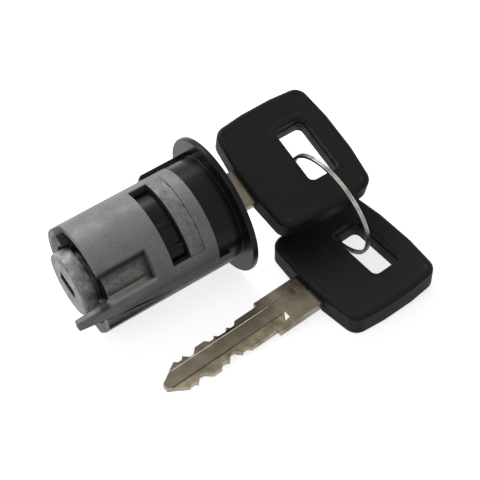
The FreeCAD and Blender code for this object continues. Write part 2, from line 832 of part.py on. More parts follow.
def centred(nodes):
    # The origin is the middle of the part's box, seen from above, at floor level.
    boxes = [box_of(shape) for shape in nodes.values()]
    middle_x = (min(b.XMin for b in boxes) + max(b.XMax for b in boxes)) / 2
    middle_y = (min(b.YMin for b in boxes) + max(b.YMax for b in boxes)) / 2
    lowest_z = min(b.ZMin for b in boxes)
    shift = placement(FreeCAD.Rotation(), V(-middle_x, -middle_y, -lowest_z))
    return {name: placed(shape, shift) for name, shape in nodes.items()}, shift


def main():
    os.makedirs("parts", exist_ok=True)
    nodes, shift = centred(build())
    for name, shape in nodes.items():
        shape.exportStep("parts/%s.step" % name)
    print("lock origin", shift.Base + lock_placement().Base)
    print("nodes", len(nodes))


main()
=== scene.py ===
import json
from math import pi, radians

import bpy
from mathutils import Matrix, Vector
from mathutils.bvhtree import BVHTree


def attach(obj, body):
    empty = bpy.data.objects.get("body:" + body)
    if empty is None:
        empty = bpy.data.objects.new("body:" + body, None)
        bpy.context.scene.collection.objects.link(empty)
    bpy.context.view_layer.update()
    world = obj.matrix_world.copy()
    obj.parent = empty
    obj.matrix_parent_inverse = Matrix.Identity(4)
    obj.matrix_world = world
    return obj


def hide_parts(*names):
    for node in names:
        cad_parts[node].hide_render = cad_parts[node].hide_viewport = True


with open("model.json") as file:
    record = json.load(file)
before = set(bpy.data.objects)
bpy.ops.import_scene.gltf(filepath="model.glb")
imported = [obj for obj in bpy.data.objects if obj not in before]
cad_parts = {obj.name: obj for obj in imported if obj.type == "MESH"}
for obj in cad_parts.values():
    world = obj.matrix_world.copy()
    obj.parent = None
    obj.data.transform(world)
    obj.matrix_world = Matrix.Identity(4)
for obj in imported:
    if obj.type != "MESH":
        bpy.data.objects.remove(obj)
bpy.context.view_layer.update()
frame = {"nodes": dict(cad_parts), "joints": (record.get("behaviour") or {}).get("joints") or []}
print("frame loaded:", len(frame["nodes"]), "nodes")

mm = 0.001
touch = 0.02 * mm  # places nearer than this count as one


def deselectAll():
    if bpy.context.object and bpy.context.object.mode != "OBJECT":
        bpy.ops.object.mode_set(mode="OBJECT")
    bpy.ops.object.select_all(action="DESELECT")


def activate(obj):
    deselectAll()
    obj.select_set(True)
    bpy.context.view_layer.objects.active = obj


def applyModifier(obj, kind, **values):
    activate(obj)
    modifier = obj.modifiers.new(kind.lower(), kind)
    for name, value in values.items():
        setattr(modifier, name, value)
    bpy.ops.object.modifier_apply(modifier=modifier.name)


def smoothByAngle(obj, angle):
    activate(obj)
    bpy.ops.object.shade_smooth_by_angle(angle=radians(angle))


merge = {"gap": 0.004, "flat": 0.6}  # mm and degrees, to join a node's loose triangles into faces


def copyNode(nodeName, pieceName):
    source = frame["nodes"][nodeName]
    obj = bpy.data.objects.new(pieceName, source.data.copy())
    bpy.context.scene.collection.objects.link(obj)
    obj.data.materials.clear()
    activate(obj)
    bpy.ops.object.mode_set(mode="EDIT")
    bpy.ops.mesh.select_all(action="SELECT")
    bpy.ops.mesh.remove_doubles(threshold=merge["gap"] * mm)
    bpy.ops.mesh.customdata_custom_splitnormals_clear()
    bpy.ops.mesh.dissolve_limited(angle_limit=radians(merge["flat"]))
    bpy.ops.object.mode_set(mode="OBJECT")
    return obj


soft = {
    "smooth": 40,  # degrees, sharper edges stay sharp in shading
    "weight": 60,  # keeps flat faces flat beside their rounded edges
    "stray": 0.35,  # share of the edge's width that a point may lie off the first surface
}


def softenEdges(obj, width, segments, angle=28):
    sharp = BVHTree.FromPolygons([vertex.co.copy() for vertex in obj.data.vertices],
                                 [tuple(polygon.vertices) for polygon in obj.data.polygons])
    applyModifier(obj, "BEVEL", width=width * mm, segments=segments, limit_method="ANGLE",
                  angle_limit=radians(angle), use_clamp_overlap=False, harden_normals=False)
    for vertex in obj.data.vertices:  # a point thrown past a sharp corner comes back to the surface
        nearest, _, _, distance = sharp.find_nearest(vertex.co)
        if distance > soft["stray"] * width * mm:
            vertex.co = nearest
    smoothByAngle(obj, soft["smooth"])
    applyModifier(obj, "WEIGHTED_NORMAL", keep_sharp=True, weight=soft["weight"])


def pickEdges(obj, test):
    # Leaves the object in edit mode with the edges that pass the test selected
    activate(obj)
    bpy.ops.object.mode_set(mode="EDIT")
    bpy.ops.mesh.select_mode(type="EDGE")
    bpy.ops.mesh.select_all(action="DESELECT")
    bpy.ops.object.mode_set(mode="OBJECT")
    corners = [vertex.co for vertex in obj.data.vertices]
    for edge in obj.data.edges:
        edge.select = test(corners[edge.vertices[0]], corners[edge.vertices[1]])
    bpy.ops.object.mode_set(mode="EDIT")


def roundEdges(obj, test, marks, **values):
    pickEdges(obj, test)
    bpy.ops.mesh.bevel(offset=marks["offset"] * mm, segments=marks["segments"], affect="EDGES", **values)
    bpy.ops.object.mode_set(mode="OBJECT")


def pickFaces(obj, test):
    # Leaves the object in edit mode with the faces that pass the test selected
    activate(obj)
    bpy.ops.object.mode_set(mode="EDIT")
    bpy.ops.mesh.select_mode(type="FACE")
    bpy.ops.mesh.select_all(action="DESELECT")
    bpy.ops.object.mode_set(mode="OBJECT")
    for polygon in obj.data.polygons:
        polygon.select = test(polygon)
    bpy.ops.object.mode_set(mode="EDIT")


lean = {"flat": 0.999, "wall": 0.05}  # how far a face's normal leans towards the plate's


def plateOf(obj):
    # A flat piece's broad normal, the level of its middle plane and half its thickness
    plate = max(obj.data.polygons, key=lambda polygon: polygon.area).normal.copy()
    levels = [plate.dot(vertex.co) for vertex in obj.data.vertices]
    return plate, (max(levels) + min(levels)) / 2, (max(levels) - min(levels)) / 2


def isWall(obj, polygon, plate, least):
    # A face that stands across the plate and is higher than the least
    levels = [plate.dot(obj.data.vertices[index].co) for index in polygon.vertices]
    return abs(polygon.normal.dot(plate)) < lean["wall"] and max(levels) - min(levels) > least


def finishPiece(obj, body, nodeName, materials):
    if not isinstance(materials, tuple):
        materials = (materials,)
    while len(obj.data.materials) < len(materials):
        obj.data.materials.append(None)
    for index, material in enumerate(materials):
        obj.data.materials[index] = material
    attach(obj, body)
    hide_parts(nodeName)


def dress(nodeName, material):
    obj = frame["nodes"][nodeName]
    obj.data.materials.clear()
    obj.data.materials.append(material)


jointOf = {joint["name"]: joint for joint in frame["joints"]}


def frameMatrix(origin, xAxis, zAxis):
    x = Vector(xAxis).normalized()
    z = Vector(zAxis)
    y = z.cross(x).normalized()
    z = x.cross(y)
    m = Matrix((x, y, z)).transposed().to_4x4()
    m.translation = Vector(origin)
    return m


# x runs out of the key side of the lock, z is up across it
lockOrigin = Vector(jointOf["plug_turn"]["pos_m"])
lockFrame = frameMatrix(lockOrigin, -Vector(jointOf["plug_turn"]["axis"]), (0, 0, 1))


def newGroup(name, inputs, outputs):
    group = bpy.data.node_groups.new(name, "ShaderNodeTree")
    for label, kind, default in inputs:
        socket = group.interface.new_socket(name=label, in_out="INPUT", socket_type=kind)
        if default is not None:
            socket.default_value = default
    for label, kind in outputs:
        group.interface.new_socket(name=label, in_out="OUTPUT", socket_type=kind)
    return group, group.nodes.new("NodeGroupInput"), group.nodes.new("NodeGroupOutput")


def feed(tree, socket, value):
    # A socket takes a fixed value or a link
    if isinstance(value, (int, float, tuple)):
        socket.default_value = value
    else:
        tree.links.new(value, socket)


def addNoise(tree, vector, scale, detail, roughness):
    node = tree.nodes.new("ShaderNodeTexNoise")
    for label, given in (("Vector", vector), ("Scale", scale), ("Detail", detail),
                         ("Roughness", roughness)):
        feed(tree, node.inputs[label], given)
    return node


def addMath(tree, operation, first, second):
    node = tree.nodes.new("ShaderNodeMath")
    node.operation = operation
    for socket, value in zip(node.inputs, (first, second)):
        feed(tree, socket, value)
    return node.outputs[0]


def addMix(tree, factor, first, second):
    node = tree.nodes.new("ShaderNodeMix")
    node.data_type = "RGBA"
    for socket, value in ((node.inputs[0], factor), (node.inputs[6], first), (node.inputs[7], second)):
        feed(tree, socket, value)
    return node.outputs[2]


def addRange(tree, value, low, high, outLow=0.0, outHigh=1.0):
    node = tree.nodes.new("ShaderNodeMapRange")
    for label, given in (("Value", value), ("From Min", low), ("From Max", high), ("To Min", outLow),
                         ("To Max", outHigh)):
        feed(tree, node.inputs[label], given)
    return node.outputs["Result"]


def buildCastSkin():
    # Mottled colour, small pits and a fine grain of a raw casting
    tree, start, end = newGroup("castSkin", [
        ("Vector", "NodeSocketVector", None),
        ("Color", "NodeSocketColor", (0.3, 0.3, 0.3, 1)),
        ("Stain", "NodeSocketColor", (0.2, 0.2, 0.2, 1)),
        ("Mottle", "NodeSocketFloat", 0.5),
        ("Grain", "NodeSocketFloat", 3200.0),
        ("Spread", "NodeSocketFloat", 210.0),
    ], [("Color", "NodeSocketColor"), ("Height", "NodeSocketFloat"), ("Roughness", "NodeSocketFloat")])
    vector = start.outputs["Vector"]
    clouds = addNoise(tree, vector, start.outputs["Spread"], detail=5.0, roughness=0.62)
    cloudMask = addMath(tree, "MULTIPLY", addRange(tree, clouds.outputs["Fac"], low=0.38, high=0.68),
                        start.outputs["Mottle"])
    tint = addMix(tree, cloudMask, start.outputs["Color"], start.outputs["Stain"])
    grain = addNoise(tree, vector, start.outputs["Grain"], detail=3.0, roughness=0.7)
    speck = addRange(tree, grain.outputs["Fac"], low=0.30, high=0.70, outLow=0.74, outHigh=1.22)
    mixed = tree.nodes.new("ShaderNodeVectorMath")
    mixed.operation = "SCALE"
    tree.links.new(tint, mixed.inputs[0])
    tree.links.new(speck, mixed.inputs["Scale"])
    tree.links.new(mixed.outputs[0], end.inputs["Color"])
    pits = addNoise(tree, vector, scale=1100.0, detail=2.0, roughness=0.5)
    pitMask = addRange(tree, pits.outputs["Fac"], low=0.22, high=0.34)
    grainHeight = addMath(tree, "MULTIPLY", grain.outputs["Fac"], 0.45)  # shallower than the pits
    tree.links.new(addMath(tree, "ADD", grainHeight, pitMask), end.inputs["Height"])
    roughness = addRange(tree, clouds.outputs["Fac"], low=0.3, high=0.7, outLow=0.40, outHigh=0.62)
    tree.links.new(roughness, end.inputs["Roughness"])
    return tree


def buildMouldGrain():
    # Fine grain of moulded plastic, with a faint wiped look
    tree, start, end = newGroup("mouldGrain", [
        ("Vector", "NodeSocketVector", None),
        ("Grain", "NodeSocketFloat", 4200.0),
        ("Smooth", "NodeSocketFloat", 0.4),
        ("Rough", "NodeSocketFloat", 0.6),
    ], [("Height", "NodeSocketFloat"), ("Roughness", "NodeSocketFloat"), ("Mask", "NodeSocketFloat")])
    vector = start.outputs["Vector"]
    grain = addNoise(tree, vector, start.outputs["Grain"], detail=2.0, roughness=0.6)
    wipe = addNoise(tree, vector, scale=160.0, detail=4.0, roughness=0.6)
    mask = addRange(tree, wipe.outputs["Fac"], low=0.35, high=0.7)
    spread = addMath(tree, "SUBTRACT", start.outputs["Rough"], start.outputs["Smooth"])
    tree.links.new(addMath(tree, "ADD", addMath(tree, "MULTIPLY", mask, spread), start.outputs["Smooth"]),
                   end.inputs["Roughness"])
    tree.links.new(grain.outputs["Fac"], end.inputs["Height"])
    tree.links.new(mask, end.inputs["Mask"])
    return tree


def buildWornPlate():
    # Worn plating: long hair scratches along one direction and soft stains
    tree, start, end = newGroup("wornPlate", [
        ("Vector", "NodeSocketVector", None),
        ("Bright", "NodeSocketColor", (0.6, 0.58, 0.52, 1)),
        ("Dull", "NodeSocketColor", (0.4, 0.36, 0.3, 1)),
        ("Stretch", "NodeSocketVector", (1.0, 1.0, 1.0)),
    ], [("Color", "NodeSocketColor"), ("Height", "NodeSocketFloat"), ("Roughness", "NodeSocketFloat")])
    stretched = tree.nodes.new("ShaderNodeVectorMath")
    stretched.operation = "MULTIPLY"
    tree.links.new(start.outputs["Vector"], stretched.inputs[0])
    tree.links.new(start.outputs["Stretch"], stretched.inputs[1])
    hair = addNoise(tree, stretched.outputs[0], scale=1500.0, detail=3.0, roughness=0.6)
    stain = addNoise(tree, start.outputs["Vector"], scale=260.0, detail=4.0, roughness=0.6)
    stainMask = addRange(tree, stain.outputs["Fac"], low=0.35, high=0.68)
    tree.links.new(addMix(tree, stainMask, start.outputs["Bright"], start.outputs["Dull"]),
                   end.inputs["Color"])
    tree.links.new(hair.outputs["Fac"], end.inputs["Height"])
    stainRough = addMath(tree, "MULTIPLY", stainMask, 0.14)
    hairRough = addRange(tree, hair.outputs["Fac"], low=0.3, high=0.7, outLow=0.20, outHigh=0.34)
    tree.links.new(addMath(tree, "ADD", stainRough, hairRough), end.inputs["Roughness"])
    return tree


def buildLockPlaces():
    # Where a point lies on the lock: its distance from the axis, its angle from the top and its x, in mm
    tree, start, end = newGroup("lockPlaces", [("Vector", "NodeSocketVector", None)],
                                [("Radius", "NodeSocketFloat"), ("Angle", "NodeSocketFloat"),
                                 ("Along", "NodeSocketFloat")])
    parts = tree.nodes.new("ShaderNodeSeparateXYZ")
    tree.links.new(start.outputs["Vector"], parts.inputs[0])
    across = addMath(tree, "MULTIPLY", parts.outputs["Y"], parts.outputs["Y"])
    up = addMath(tree, "MULTIPLY", parts.outputs["Z"], parts.outputs["Z"])
    radius = addMath(tree, "SQRT", addMath(tree, "ADD", across, up), 0.0)
    near = addMath(tree, "MULTIPLY", parts.outputs["Y"], -1.0)
    turned = addMath(tree, "ARCTAN2", near, parts.outputs["Z"])
    tree.links.new(addMath(tree, "MULTIPLY", radius, 1 / mm), end.inputs["Radius"])
    tree.links.new(addMath(tree, "MULTIPLY", turned, 180 / pi), end.inputs["Angle"])
    tree.links.new(addMath(tree, "MULTIPLY", parts.outputs["X"], 1 / mm), end.inputs["Along"])
    return tree


def buildChippedEdge():
    # 1 along a broken line at one place along the lock's axis
    tree, start, end = newGroup("chippedEdge", [
        ("Vector", "NodeSocketVector", None),
        ("Place", "NodeSocketFloat", 0.0),
        ("Depth", "NodeSocketFloat", 0.0006),
    ], [("Mask", "NodeSocketFloat")])
    parts = tree.nodes.new("ShaderNodeSeparateXYZ")
    tree.links.new(start.outputs["Vector"], parts.inputs[0])
    chips = addNoise(tree, start.outputs["Vector"], scale=420.0, detail=4.0, roughness=0.7)
    bite = addMath(tree, "MULTIPLY", addRange(tree, chips.outputs["Fac"], low=0.46, high=0.72),
                   start.outputs["Depth"])
    edge = addMath(tree, "SUBTRACT", start.outputs["Place"], bite)
    tree.links.new(addMath(tree, "GREATER_THAN", parts.outputs["X"], edge), end.inputs["Mask"])
    return tree


def buildGrimeAndShadeClouds():
    # How thick grime and painted shade lie: uneven clouds between a least and a most
    tree, start, end = newGroup("grimeAndShadeClouds", [
        ("Vector", "NodeSocketVector", None),
        ("Spread", "NodeSocketFloat", 900.0),
        ("Detail", "NodeSocketFloat", 4.0),
        ("Crumble", "NodeSocketFloat", 0.6),
        ("Low", "NodeSocketFloat", 0.35),
        ("High", "NodeSocketFloat", 0.6),
        ("Least", "NodeSocketFloat", 0.4),
        ("Most", "NodeSocketFloat", 1.0),
    ], [("Mask", "NodeSocketFloat")])
    given = start.outputs
    clouds = addNoise(tree, given["Vector"], given["Spread"], given["Detail"], given["Crumble"])
    mask = addRange(tree, clouds.outputs["Fac"], given["Low"], given["High"], given["Least"], given["Most"])
    tree.links.new(mask, end.inputs["Mask"])
    return tree


castSkin = buildCastSkin()
lockPlaces = buildLockPlaces()
chippedEdge = buildChippedEdge()
grimeAndShadeClouds = buildGrimeAndShadeClouds()
mouldGrain = buildMouldGrain()
wornPlate = buildWornPlate()


def startMaterial(name, metallic=0.0, specular=0.5):
    material = bpy.data.materials.new(name)
    material.use_nodes = True
    tree = material.node_tree
    shader = tree.nodes["Principled BSDF"]
    shader.inputs["Metallic"].default_value = metallic
    shader.inputs["Specular IOR Level"].default_value = specular
    coords = tree.nodes.new("ShaderNodeTexCoord")
    return material, tree, shader, coords.outputs["Object"]


def placeGroup(tree, group, vector, **values):
    node = tree.nodes.new("ShaderNodeGroup")
    node.node_tree = group
    tree.links.new(vector, node.inputs["Vector"])
    for label, value in values.items():
        node.inputs[label].default_value = value
    return node


def addBump(tree, shader, height, strength, distance):
    bump = tree.nodes.new("ShaderNodeBump")
    bump.inputs["Strength"].default_value = strength
    bump.inputs["Distance"].default_value = distance * mm
    tree.links.new(height, bump.inputs["Height"])
    tree.links.new(bump.outputs["Normal"], shader.inputs["Normal"])


def lockPlace(tree, vector):
    # Object coordinates turned into the lock's own frame
    node = tree.nodes.new("ShaderNodeMapping")
    toLock = lockFrame.inverted()
    node.inputs["Location"].default_value = toLock.translation
    node.inputs["Rotation"].default_value = toLock.to_euler()
    tree.links.new(vector, node.inputs["Vector"])
    return node.outputs["Vector"]


def below(tree, value, full, none):
    # 1 up to the first value, 0 from the second one on
    return addRange(tree, value, full, none, 1.0, 0.0)


def within(tree, value, low, rise, fall, high):
    # 0 outside low and high, 1 between rise and fall, soft in between
    return addMath(tree, "MULTIPLY", addRange(tree, value, low, rise), below(tree, value, fall, high))


def strongest(tree, masks):
    result = masks[0]
    for mask in masks[1:]:
        result = addMath(tree, "MAXIMUM", result, mask)
    return result


# Places on the sleeve: radius and along in mm, angles in degrees from its top towards the pocket
sleeveMarks = {
    "sunkRadius": (13.2, 13.9),
    "sunkAngle": (100.0, 101.0),
    "pocketFront": (-26.3, -25.9),
    "wallAngle": (41.0, 43.0, 50.0, 60.0),
    "footAngle": (68.0, 73.5, 75.0, 77.0),
    "footShare": 0.6,
    "cornerAlong": (-29.0, -26.8, -25.9, -25.6),
    "recessRadius": (12.35, 12.5),
    "recessAlong": (-38.9, -38.2),
    "rootAlong": (-43.5, -41.5, -39.9, -39.2),
    "rootAngle": (60.0, 70.0, 81.0, 84.0),
    "ridgeAngle": (75.8, 77.2, 79.0, 82.5),
    "ridgeAlong": (-39.3, -38.6, -26.6, -25.8),
    "ridgeShare": 0.8,
    # painted highlight on the pocket's lower ridge
    "ridgeHighlight": (0.50, 0.49, 0.47, 1),
    "windowAlong": (-21.25, -21.1, -11.95, -11.8),
    "windowRadius": (13.8, 13.95),
    "keelAngle": (96.0, 101.0, 150.0, 170.0),
    "keelAlong": (-20.0, -10.0),
    "keelShade": (0.42, 0.1),  # painted shade, at the rear and at the front
    "floorColor": (0.30, 0.295, 0.28, 1),
    "floorStain": (0.15, 0.145, 0.135, 1),
    "floorLift": 2.0,
    # colour of the painted shade
    "paintedShade": (0.035, 0.033, 0.030, 1),
}


def sleeveFloorAndShading(tree, vector, color, height):
    # The pocket's floor is rough; its ridge gets a painted highlight, and painted shade darkens corners,
    # hollows and the keel's lower side
    marks = sleeveMarks
    place = placeGroup(tree, lockPlaces, lockPlace(tree, vector))
    radius, angle, along = (place.outputs[label] for label in ("Radius", "Angle", "Along"))
    sunk = addMath(tree, "MULTIPLY", below(tree, radius, *marks["sunkRadius"]),
                   below(tree, along, *marks["pocketFront"]))
    inPocket = addMath(tree, "MULTIPLY", sunk, below(tree, angle, *marks["sunkAngle"]))
    rough = placeGroup(tree, castSkin, vector, Color=marks["floorColor"], Stain=marks["floorStain"],
                       Mottle=1.0, Grain=1500.0, Spread=900.0)
    color = addMix(tree, inPocket, color, rough.outputs["Color"])
    lift = addMath(tree, "MULTIPLY", rough.outputs["Height"], inPocket)
    height = addMath(tree, "ADD", height, addMath(tree, "MULTIPLY", lift, marks["floorLift"]))

    # Painted shade on the pocket's upper wall, at its foot and in its front corner
    wall = within(tree, angle, *marks["wallAngle"])
    foot = addMath(tree, "MULTIPLY", within(tree, angle, *marks["footAngle"]), marks["footShare"])
    corner = within(tree, along, *marks["cornerAlong"])
    shade = addMath(tree, "MULTIPLY", strongest(tree, (wall, foot, corner)), inPocket)
    # Painted shade in the rear recess and at the finger's root
    recess = addMath(tree, "MULTIPLY", below(tree, radius, *marks["recessRadius"]),
                     below(tree, along, *marks["recessAlong"]))
    root = addMath(tree, "MULTIPLY", within(tree, along, *marks["rootAlong"]),
                   within(tree, angle, *marks["rootAngle"]))
    # Painted highlight: the pocket's lower ridge is painted lighter
    ridge = addMath(tree, "MULTIPLY", within(tree, angle, *marks["ridgeAngle"]),
                    within(tree, along, *marks["ridgeAlong"]))
    color = addMix(tree, addMath(tree, "MULTIPLY", ridge, marks["ridgeShare"]), color, marks["ridgeHighlight"])
    # Painted shade in the window's gap and on the keel's lower side
    window = addMath(tree, "MULTIPLY", within(tree, along, *marks["windowAlong"]),
                     below(tree, radius, *marks["windowRadius"]))
    keel = addMath(tree, "MULTIPLY", within(tree, angle, *marks["keelAngle"]),
                   addRange(tree, along, *marks["keelAlong"], *marks["keelShade"]))
    # The painted shade lies a little unevenly
    clouds = placeGroup(tree, grimeAndShadeClouds, vector, Spread=900.0, Low=0.25, Least=0.90)
    paintedShade = addMath(tree, "MULTIPLY", strongest(tree, (shade, recess, root, window, keel)),
                    clouds.outputs["Mask"])
    return addMix(tree, paintedShade, color, marks["paintedShade"]), height


blockMarks = {
    "chipAt": -12.10,  # mm along the lock's axis, the block's front edge
    # the face towards the open part of the window gets painted shade
    "innerAlong": (-16.10, -16.02),
    "dark": (0.02, 0.02, 0.02, 1),
}


def blockChipAndShade(tree, vector, color, height):
    # A chipped front edge, and painted shade on the face towards the open part of the window
    place = lockPlace(tree, vector)
    chip = placeGroup(tree, chippedEdge, place, Place=blockMarks["chipAt"] * mm)
    along = placeGroup(tree, lockPlaces, place).outputs["Along"]
    inner = below(tree, along, *blockMarks["innerAlong"])
    dark = addMath(tree, "MAXIMUM", chip.outputs["Mask"], inner)
    return addMix(tree, dark, color, blockMarks["dark"]), height


driverMarks = {
    "nearAlong": (-43.4, -40.2),
    "lowAlong": (-43.6, -43.2),
    "lowAngle": (70.0, 115.0),
    # colour of the painted shade
    "paintedShade": (0.062, 0.065, 0.058, 1),
}


def driverShade(tree, vector, color, height):
    # Painted shade on the side that lies close behind the sleeve, and on the whole lower side
    place = placeGroup(tree, lockPlaces, lockPlace(tree, vector))
    angle, along = place.outputs["Angle"], place.outputs["Along"]
    near = addRange(tree, along, *driverMarks["nearAlong"])
    low = addMath(tree, "MULTIPLY", addRange(tree, angle, *driverMarks["lowAngle"]),
                  addRange(tree, along, *driverMarks["lowAlong"]))
    clouds = placeGroup(tree, grimeAndShadeClouds, vector, Spread=520.0, Detail=5.0, Crumble=0.65,
                        Low=0.38, High=0.62, Least=0.25, Most=0.92)
    paintedShade = addMath(tree, "MULTIPLY", strongest(tree, (near, low)), clouds.outputs["Mask"])
    return addMix(tree, paintedShade, color, driverMarks["paintedShade"]), height


# The optional last argument paints wear marks, shade and highlights onto the colour
def castMaterial(name, color, stain, mottle, grain, strength, metallic=0.12, spread=210.0, wearAndShading=None):
    material, tree, shader, vector = startMaterial(name, metallic, specular=0.3)
    skin = placeGroup(tree, castSkin, vector, Color=color, Stain=stain, Mottle=mottle, Grain=grain,
                      Spread=spread)
    skinColor = skin.outputs["Color"]
    skinHeight = skin.outputs["Height"]
    if wearAndShading:
        skinColor, skinHeight = wearAndShading(tree, vector, skinColor, skinHeight)
    tree.links.new(skinColor, shader.inputs["Base Color"])
    tree.links.new(skin.outputs["Roughness"], shader.inputs["Roughness"])
    addBump(tree, shader, skinHeight, strength, distance=0.06)
    return material


def plasticMaterial(name, color, worn, grain, smooth, rough, strength, specular):
    material, tree, shader, vector = startMaterial(name, 0.0, specular)
    skin = placeGroup(tree, mouldGrain, vector, Grain=grain, Smooth=smooth, Rough=rough)
    tree.links.new(addMix(tree, skin.outputs["Mask"], color, worn), shader.inputs["Base Color"])
    tree.links.new(skin.outputs["Roughness"], shader.inputs["Roughness"])
    addBump(tree, shader, skin.outputs["Height"], strength, distance=0.03)
    return material


def platedMaterial(name, bright, dull, strength, stretch=(1.0, 1.0, 1.0), wearAndShading=None):
    material, tree, shader, vector = startMaterial(name, metallic=1.0)
    skin = placeGroup(tree, wornPlate, vector, Bright=bright, Dull=dull, Stretch=stretch)
    color = skin.outputs["Color"]
    if wearAndShading:
        color = wearAndShading(tree, vector, color)
    tree.links.new(color, shader.inputs["Base Color"])
    tree.links.new(skin.outputs["Roughness"], shader.inputs["Roughness"])
    addBump(tree, shader, skin.outputs["Height"], strength, distance=0.02)
    return material


# painted shade deep in the driver's hole
linerMarks = {"deepAlong": (-43.8, -42.9), "deepColor": (0.008, 0.010, 0.012, 1)}


def linerDepthShade(tree, vector, color):
    # Painted shade: the driver's hole goes black with depth
    along = placeGroup(tree, lockPlaces, lockPlace(tree, vector)).outputs["Along"]
    return addMix(tree, addRange(tree, along, *linerMarks["deepAlong"]), color, linerMarks["deepColor"])


smudge = {
    "place": (11.2, -12.4, 5.1),  # mm, on the spare key's neck beside its head
    "near": 1.2,
    "far": 5.0,
    "most": 0.9,
    "color": (0.035, 0.030, 0.026, 1),
}


def neckWear(tree, vector, color):
    # A dark patch where the blade goes into its head
    gap = tree.nodes.new("ShaderNodeVectorMath")
    gap.operation = "DISTANCE"
    tree.links.new(vector, gap.inputs[0])
    gap.inputs[1].default_value = [value * mm for value in smudge["place"]]
    nearness = addRange(tree, gap.outputs["Value"], smudge["near"] * mm, smudge["far"] * mm,
                        smudge["most"], 0.0)
    clouds = placeGroup(tree, grimeAndShadeClouds, vector, Spread=700.0, Least=0.45)
    return addMix(tree, addMath(tree, "MULTIPLY", nearness, clouds.outputs["Mask"]), color, smudge["color"])


# Painted shade and a painted dark reflection on the ring's low loop
lowLoopShade = {"from": 19.0, "to": 10.0, "most": 0.85, "color": (0.075, 0.058, 0.050, 1)}  # mm above the ground


def ringLowShade(tree, vector, color):
    # The loop that lies low gets painted shade and a painted dark reflection of the black key, in brown
    split = tree.nodes.new("ShaderNodeSeparateXYZ")
    tree.links.new(vector, split.inputs["Vector"])
    low = addRange(tree, split.outputs["Z"], lowLoopShade["from"] * mm, lowLoopShade["to"] * mm,
                   0.0, lowLoopShade["most"])
    return addMix(tree, low, color, lowLoopShade["color"])


sleeveZinc = castMaterial("sleeveZinc", color=(0.27, 0.268, 0.266, 1), stain=(0.21, 0.208, 0.204, 1),
                          mottle=0.6, grain=2600.0, strength=0.40, wearAndShading=sleeveFloorAndShading)
blockZinc = castMaterial("blockZinc", color=(0.31, 0.305, 0.30, 1), stain=(0.17, 0.165, 0.16, 1),
                         mottle=0.8, grain=1700.0, strength=0.8, spread=450.0, wearAndShading=blockChipAndShade)
driverZinc = castMaterial("driverZinc", color=(0.42, 0.42, 0.415, 1), stain=(0.22, 0.22, 0.215, 1),
                          mottle=0.9, grain=1900.0, strength=0.6, metallic=0.35, spread=420.0,
                          wearAndShading=driverShade)
plugZinc = castMaterial("plugZinc", color=(0.13, 0.125, 0.12, 1), stain=(0.07, 0.065, 0.06, 1),
                        mottle=0.5, grain=2600.0, strength=0.3)
collarBlack = plasticMaterial("collarBlack", color=(0.0045, 0.0042, 0.0040, 1),
                              worn=(0.008, 0.0072, 0.007, 1), grain=3000.0, smooth=0.20, rough=0.30,
                              strength=0.2, specular=0.16)
# Painted highlight: a lighter plastic for the step line inside each key head's border
keyLine = plasticMaterial("keyLine", color=(0.030, 0.030, 0.028, 1), worn=(0.016, 0.016, 0.015, 1),
                          grain=2600.0, smooth=0.40, rough=0.55, strength=0.45, specular=0.12)
keyBlack = plasticMaterial("keyBlack", color=(0.0105, 0.0105, 0.0100, 1), worn=(0.0145, 0.0145, 0.0138, 1),
                           grain=4600.0, smooth=0.46, rough=0.60, strength=0.45, specular=0.12)
keyNickel = platedMaterial("keyNickel", bright=(0.180, 0.153, 0.114, 1), dull=(0.125, 0.104, 0.076, 1),
                           strength=0.2, stretch=(0.25, 1.6, 1.6), wearAndShading=neckWear)
keyStrip = platedMaterial("keyStrip", bright=(0.270, 0.235, 0.155, 1), dull=(0.115, 0.097, 0.070, 1),
                          strength=0.4)
keySide = platedMaterial("keySide", bright=(0.46, 0.415, 0.33, 1), dull=(0.20, 0.175, 0.125, 1),
                         strength=0.3)
# Painted highlight: bright metal for glints on the blades' edges and sloping ends
keyGlint = platedMaterial("keyGlint", bright=(0.86, 0.80, 0.72, 1), dull=(0.55, 0.50, 0.43, 1), strength=0.2)
ringNickel = platedMaterial("ringNickel", bright=(0.50, 0.48, 0.45, 1), dull=(0.16, 0.15, 0.14, 1),
                            strength=0.1, wearAndShading=ringLowShade)
linerSteel = platedMaterial("linerSteel", bright=(0.27, 0.34, 0.38, 1), dull=(0.10, 0.13, 0.15, 1),
                            strength=0.2, stretch=(1.0, 1.0, 0.3), wearAndShading=linerDepthShade)
brightSteel = platedMaterial("brightSteel", bright=(0.50, 0.50, 0.50, 1), dull=(0.30, 0.30, 0.30, 1),
                             strength=0.15)
# A darker copy of brightSteel, as painted shade for the retaining ring in the recess
shadedSteel = platedMaterial("shadedSteel", bright=(0.15, 0.145, 0.135, 1), dull=(0.05, 0.048, 0.044, 1),
                           strength=0.2)
waferBrass = platedMaterial("waferBrass", bright=(0.70, 0.52, 0.25, 1), dull=(0.45, 0.32, 0.15, 1),
                            strength=0.2, stretch=(0.4, 1.0, 1.0))
print("materials built")


# Castings and mouldings of the lock, with soft edges: node, body, material, slot, and the width in mm
# and the segments of the rounding
castings = {
    "sleevePiece": ("sleeve_housing", "housing", sleeveZinc, "zinc_sleeve", 0.20, 3),
    "collarPiece": ("bezel_collar", "housing", collarBlack, "black_collar", 0.18, 3),
    "blockPiece": ("window_block", "housing", blockZinc, "zinc_block", 0.12, 2),
    "driverPiece": ("driver", "plug", driverZinc, "zinc_driver", 0.22, 3),
    "linerPiece": ("driver_insert", "plug", linerSteel, "plated_steel", 0.12, 2),
    "facePiece": ("face_cap", "plug", brightSteel, "face_steel", 0.10, 2),
}

driverRim = {"inner": 8.0, "depth": 0.5, "offset": 0.55, "segments": 5}  # mm, as in the next two


